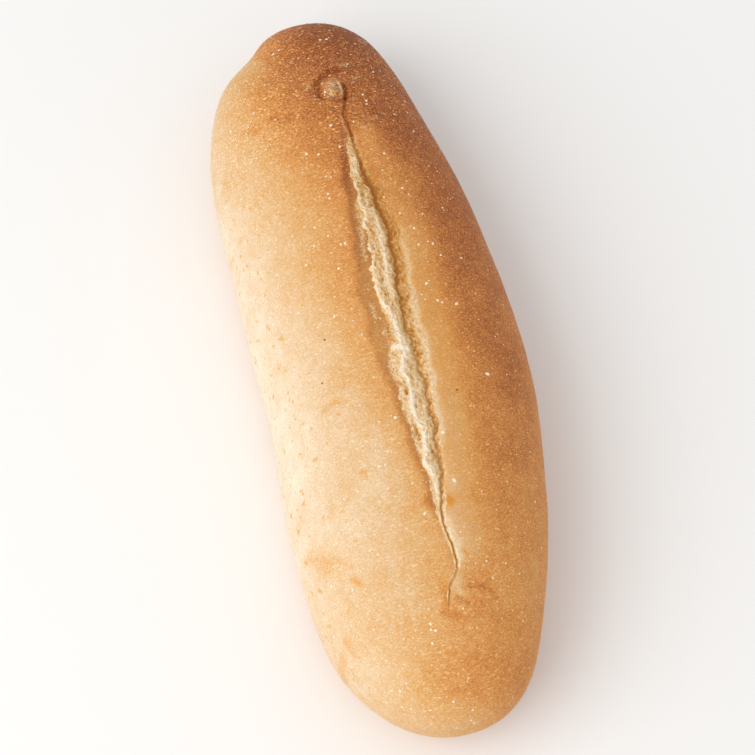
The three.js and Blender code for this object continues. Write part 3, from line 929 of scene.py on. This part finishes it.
# %% [markdown]
# One mesh of beads
# Instances would be lighter to work with, but each bead needs numbers of its own for its colour. So the
# dome's points are copied for each bead, squeezed, spun and turned to the skin, and joined into a single
# mesh.

# %% Join the domes into one mesh
BLISTER_OVAL, BLISTER_HEIGHT, BLISTER_SINK = (0.8, 1.5), 0.55, 0.12
RIM_ANGLE = radians(80)

bead_points, bead_faces = [], []
for index, radius in zip(chosen, radii):
    turned = np.array(Vector(normals[index]).to_track_quat("Z", "Y").to_matrix())
    sizes = np.array([radius * rng.uniform(*BLISTER_OVAL), radius, radius * BLISTER_HEIGHT])
    spin = rng.uniform(0, 2 * pi)
    spun = np.array([[cos(spin), -sin(spin), 0], [sin(spin), cos(spin), 0], [0, 0, 1]])
    place = centres[index] - BLISTER_SINK * radius * normals[index]
    first = len(bead_points) * len(dome_points)
    bead_points.append((dome_points * sizes) @ spun.T @ turned.T + place)
    bead_faces += [[first + i for i in face] for face in dome_faces]
bead_mesh = bpy.data.meshes.new("crust_blisters")
bead_mesh.from_pydata((np.concatenate(bead_points) * MM).tolist(), [], bead_faces)
crust_blisters = bpy.data.objects.new("crust_blisters", bead_mesh)
bpy.context.scene.collection.objects.link(crust_blisters)
select_only(crust_blisters)
bpy.ops.object.shade_smooth_by_angle(angle=RIM_ANGLE)
paint_attribute(crust_blisters, "browning_and_shade", np.repeat(bead_browning_and_shade, len(dome_points)))
paint_attribute(crust_blisters, "glassy_and_glint", np.repeat(glassy_and_glint, len(dome_points)))
print(f"{len(radii)} blisters with {len(bead_faces)} faces")

# %% [markdown]
# Baked crust
# A wheat crust is sugar and protein browned in dry heat, over a skin that the steam first left smooth. It
# reads as a satin brown that is never even: slow clouds of a deeper brown, a fine pebbled grain that is
# drawn out across the roll, and pale pricks and dashes. The browner the skin, the stronger its grain. The
# grain also makes the colour lighter and darker, a painted glint and shade of the fine relief. Noises in the
# roll's own coordinates give all that at any distance, without seams.

# %% Make the baked crust
CRUST_COLOURS = [(0, "#f5e6cd"), (0.15, "#ecd0ad"), (0.3, "#e5bd8c"), (0.45, "#dfa969"), (0.58, "#d99451"),
                 (0.72, "#c57e43"), (0.86, "#ac6537"), (1, "#8f4f2a")]
# Each noise is the size of its features in millimetres and its detail. The finest grain of a real crust,
# about a tenth of a millimetre, is too fine to show in the picture, so it is drawn at 0.32 mm.
CRUST_NOISES = {"clouds": (24, 3), "mottle": (6, 4), "patches": (2.4, 2), "grain": (0.32, 1),
                "flecks": (1.7, 1), "shreds": (0.5, 3)}
UNEVENNESS = {"clouds": 0.2, "mottle": 0.16, "patches": 0.16}
GRAIN_DRAWN, GRAIN_REACH, GRAIN_GLINT_AND_SHADE = 0.6, 0.5, 1.1
# Each pale mark is the size of its cells in millimetres, how drawn out it is, where in a cell it fades in
# and is full, and how much browner it is.
PALE_MARKS = {"prick": (1.5, GRAIN_DRAWN, 0.22, 0.06, -0.2), "dash": (0.75, 0.35, 0.35, 0.1, -0.13)}
NOISE_MIDDLE = 0.5


def per(millimetres):
    """The scale that makes a noise's features this large, on coordinates in metres."""
    return 1 / (millimetres * MM)


baked = new_material("baked_wheat_crust")
where = add_node(baked, "ShaderNodeTexCoord").outputs["Object"]
drawn = add_node(baked, "ShaderNodeMapping", {"Vector": where, "Scale": (1, GRAIN_DRAWN, 1)}).outputs[0]
painted = {name: add_node(baked, "ShaderNodeAttribute", attribute_name=name).outputs["Fac"]
           for name in ("browning_and_shade", "grain", "scorch", "bare", "gold", "ochre")}
noises, centred, pale = {}, {}, {}
for name, (size_mm, detail) in CRUST_NOISES.items():
    noises[name] = add_node(baked, "ShaderNodeTexNoise", {
        "Vector": drawn if name == "grain" else where,
        "Scale": per(size_mm),
        "Detail": detail,
    }).outputs["Fac"]
for name in (*UNEVENNESS, "grain", "shreds"):
    centred[name] = add_node(baked, "ShaderNodeMath", {0: noises[name], 1: NOISE_MIDDLE},
                             operation="SUBTRACT").outputs[0]
for name, (cell_mm, drawn_out, edge, core, browner) in PALE_MARKS.items():
    cells = add_node(baked, "ShaderNodeMapping", {"Vector": where, "Scale": (1, drawn_out, 1)}).outputs[0]
    cells = add_node(baked, "ShaderNodeTexVoronoi", {"Vector": cells, "Scale": per(cell_mm)})
    pale[name] = add_node(baked, "ShaderNodeMapRange", {
        "Value": cells.outputs["Distance"],
        "From Min": edge,
        "From Max": core,
        "To Max": browner,
    }).outputs[0]
grain = add_node(baked, "ShaderNodeMath", {0: centred["grain"], 1: GRAIN_REACH, 2: pale["dash"]},
                 operation="MULTIPLY_ADD").outputs[0]
grain = add_node(baked, "ShaderNodeMath", {0: grain, 1: pale["prick"]}).outputs[0]
grain = add_node(baked, "ShaderNodeMath", {0: grain, 1: painted["grain"]}, operation="MULTIPLY").outputs[0]
browned = add_node(baked, "ShaderNodeMath", {0: painted["browning_and_shade"], 1: grain}).outputs[0]
for name, reach in UNEVENNESS.items():
    browned = add_node(baked, "ShaderNodeMath", {0: centred[name], 1: reach, 2: browned},
                       operation="MULTIPLY_ADD").outputs[0]
colour = add_node(baked, "ShaderNodeValToRGB", {"Fac": browned}, CRUST_COLOURS).outputs["Color"]
# Painted glint and shade: the grain makes the colour lighter and darker, as light on the fine relief would.
glint_and_shade = add_node(baked, "ShaderNodeMath", {0: grain, 1: -GRAIN_GLINT_AND_SHADE, 2: 1}, operation="MULTIPLY_ADD")
colour = add_node(baked, "ShaderNodeHueSaturation", {"Color": colour, "Value": glint_and_shade.outputs[0]}).outputs[0]
print(f"The crust's browning is varied by {len(noises)} noises")

# %% [markdown]
# Tints, flecks and shreds
# The thin skin beside the tear baked golden, its bank a duller ochre, and the pale flank has toasted
# flecks. Each is a tint that is mixed over the brown where it was painted. Noise eats into the scorches and
# the shreds of crumb, because their real edges are frayed.

# %% Add the tints, the flecks and the shreds
# Each frayed mark is how far noise eats into it, and the sum of noise and paint where it fades in and is
# full.
GOLDEN, OCHRE, SCORCHED, FLECKED, SHREDDED = "#d98f36", "#bd8849", "#e29a30", "#e2a64a", "#ebd2a5"
GOLD_SHARE, OCHRE_SHARE = 0.4, 0.55
FLECK_FROM, FLECK_FULL, FLECK_SHARE, FLECK_FADES = 0.64, 0.74, 1.2, 0.75
FRAYED_MARKS = {"bare": (3, 0.25, 0.8), "scorch": (2.5, 0.1, 0.6)}
SATIN, DRY = 0.45, 0.7
MOTTLE_HEIGHT = 1.5
BUMP_HEIGHT = 0.14 * MM
MIX_A, MIX_B, MIX_RESULT = 6, 7, 2

fleck = add_node(baked, "ShaderNodeMapRange", {
    "Value": noises["flecks"],
    "From Min": FLECK_FROM,
    "From Max": FLECK_FULL,
    "To Max": FLECK_SHARE,
})
unbrowned = add_node(baked, "ShaderNodeMath", {0: FLECK_FADES, 1: painted["browning_and_shade"]},
                     operation="SUBTRACT", use_clamp=True)
fleck = add_node(baked, "ShaderNodeMath", {0: fleck.outputs[0], 1: unbrowned.outputs[0]},
                 operation="MULTIPLY")
frayed_marks = {}
for name, (eaten, faint, full) in FRAYED_MARKS.items():
    mark = add_node(baked, "ShaderNodeMath", {0: centred["shreds"], 1: eaten, 2: painted[name]},
                    operation="MULTIPLY_ADD")
    mark = add_node(baked, "ShaderNodeMapRange",
                    {"Value": mark.outputs[0], "From Min": faint, "From Max": full})
    frayed_marks[name] = add_node(baked, "ShaderNodeMath", {0: mark.outputs[0], 1: painted[name]},
                                  operation="MULTIPLY")
gold = add_node(baked, "ShaderNodeMath", {0: painted["gold"], 1: GOLD_SHARE}, operation="MULTIPLY")
# The ochre tint on the bank is partly painted shade.
ochre = add_node(baked, "ShaderNodeMath", {0: painted["ochre"], 1: OCHRE_SHARE}, operation="MULTIPLY")
tints = ((gold, GOLDEN), (ochre, OCHRE), (fleck, FLECKED),
         (frayed_marks["scorch"], SCORCHED), (frayed_marks["bare"], SHREDDED))
for node, tint in tints:
    colour = add_node(baked, "ShaderNodeMix", {0: node.outputs[0], MIX_A: colour, MIX_B: linear(tint)},
                      data_type="RGBA").outputs[MIX_RESULT]
roughness = add_node(baked, "ShaderNodeMapRange", {"Value": noises["grain"], "To Min": SATIN, "To Max": DRY})
pebble = add_node(baked, "ShaderNodeMath", {0: noises["mottle"], 1: MOTTLE_HEIGHT, 2: noises["grain"]},
                  operation="MULTIPLY_ADD")
bump = add_node(baked, "ShaderNodeBump",
                {"Height": pebble.outputs[0], "Strength": 0.6, "Distance": BUMP_HEIGHT})
shader = add_node(baked, "ShaderNodeBsdfPrincipled", {
    "Base Color": colour,
    "Roughness": roughness.outputs[0],
    "Specular IOR Level": 0.14,
    "Normal": bump.outputs[0],
})
add_node(baked, "ShaderNodeOutputMaterial", {"Surface": shader.outputs[0]})
crust.data.materials.append(baked)
print(f"The crust material has {len(baked.node_tree.nodes)} nodes")

# %% [markdown]
# Torn crumb
# Crumb is set starch and gluten full of air, torn while it was hot. It is matt and slightly see-through:
# its raised strands are nearly white, and its pits look tan, because light dies away in them.

# %% Make the torn crumb
CRUMB_COLOURS = [(0, "#b27437"), (0.25, "#cb9551"), (0.5, "#dfb882"), (0.75, "#eed0a6"), (1, "#fae8cd")]
BLOTCH_MM, FIBRE_MM = 0.6, 0.4
BLOTCH_REACH = 0.9
FIBRE_HEIGHT = 0.2 * MM

torn = new_material("torn_wheat_crumb")
where = add_node(torn, "ShaderNodeTexCoord").outputs["Object"]
# The number read here carries painted shade in the crumb's pits, its foot, its crevice and the line of the
# second crack.
paled_and_shaded = add_node(torn, "ShaderNodeAttribute", attribute_name="paleness_and_shade").outputs["Fac"]
blotch = add_node(torn, "ShaderNodeTexNoise", {"Vector": where, "Scale": per(BLOTCH_MM), "Detail": 4})
blotch = add_node(torn, "ShaderNodeMath", {0: blotch.outputs["Fac"], 1: NOISE_MIDDLE}, operation="SUBTRACT")
paled_and_shaded = add_node(torn, "ShaderNodeMath", {0: blotch.outputs[0], 1: BLOTCH_REACH, 2: paled_and_shaded},
                 operation="MULTIPLY_ADD").outputs[0]
fibre = add_node(torn, "ShaderNodeTexNoise", {"Vector": where, "Scale": per(FIBRE_MM), "Detail": 2})
bump = add_node(torn, "ShaderNodeBump",
                {"Height": fibre.outputs["Fac"], "Strength": 0.5, "Distance": FIBRE_HEIGHT})
shader = add_node(torn, "ShaderNodeBsdfPrincipled", {
    "Base Color": add_node(torn, "ShaderNodeValToRGB", {"Fac": paled_and_shaded}, CRUMB_COLOURS).outputs["Color"],
    "Roughness": 0.9,
    "Specular IOR Level": 0.15,
    "Normal": bump.outputs[0],
})
add_node(torn, "ShaderNodeOutputMaterial", {"Surface": shader.outputs[0]})
torn_crumb.data.materials.append(torn)
print(f"The crumb material has {len(torn.node_tree.nodes)} nodes")

# %% [markdown]
# Blister skin
# A blister is a film of dried starch. It is paler than the crust around it and smoother, so it catches the
# light as a glint. The thinnest films are painted nearly white, partly their own pale colour and partly a
# painted highlight for that glint, and the others keep some of the crust's brown.

# %% Make the blister skin
FILM_PALER = 0.25
GLASSY_FILM_AND_GLINT = "#f8e6c4"

film = new_material("blistered_starch_film")
painted = {name: add_node(film, "ShaderNodeAttribute", attribute_name=name).outputs["Fac"]
           for name in ("browning_and_shade", "glassy_and_glint")}
browned = add_node(film, "ShaderNodeMath", {0: painted["browning_and_shade"], 1: FILM_PALER}, operation="SUBTRACT")
colour = add_node(film, "ShaderNodeValToRGB", {"Fac": browned.outputs[0]}, CRUST_COLOURS).outputs["Color"]
# Mixing towards the near-white film is partly a painted highlight.
colour = add_node(film, "ShaderNodeMix", {0: painted["glassy_and_glint"], MIX_A: colour, MIX_B: linear(GLASSY_FILM_AND_GLINT)},
                  data_type="RGBA").outputs[MIX_RESULT]
shader = add_node(film, "ShaderNodeBsdfPrincipled", {
    "Base Color": colour,
    "Roughness": 0.3,
    "Specular IOR Level": 0.5,
})
add_node(film, "ShaderNodeOutputMaterial", {"Surface": shader.outputs[0]})
crust_blisters.data.materials.append(film)
print("Materials:", [m.name for m in bpy.data.materials])

# %% [markdown]
# Handing over
# All three pieces belong to the one solid of the roll: they stand for it and ride on it. The box of the
# dressed roll is written beside the solid's own, because dressing must not change the roll's size.

# %% Say what stands for the solid
for piece in (crust, torn_crumb, crust_blisters):
    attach(piece, "root")
    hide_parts("roll")

dressed_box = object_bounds()
size = (dressed_box[1] - dressed_box[0]) / MM
print(f"The dressed roll measures {size.x:.1f} x {size.y:.1f} x {size.z:.1f} mm")
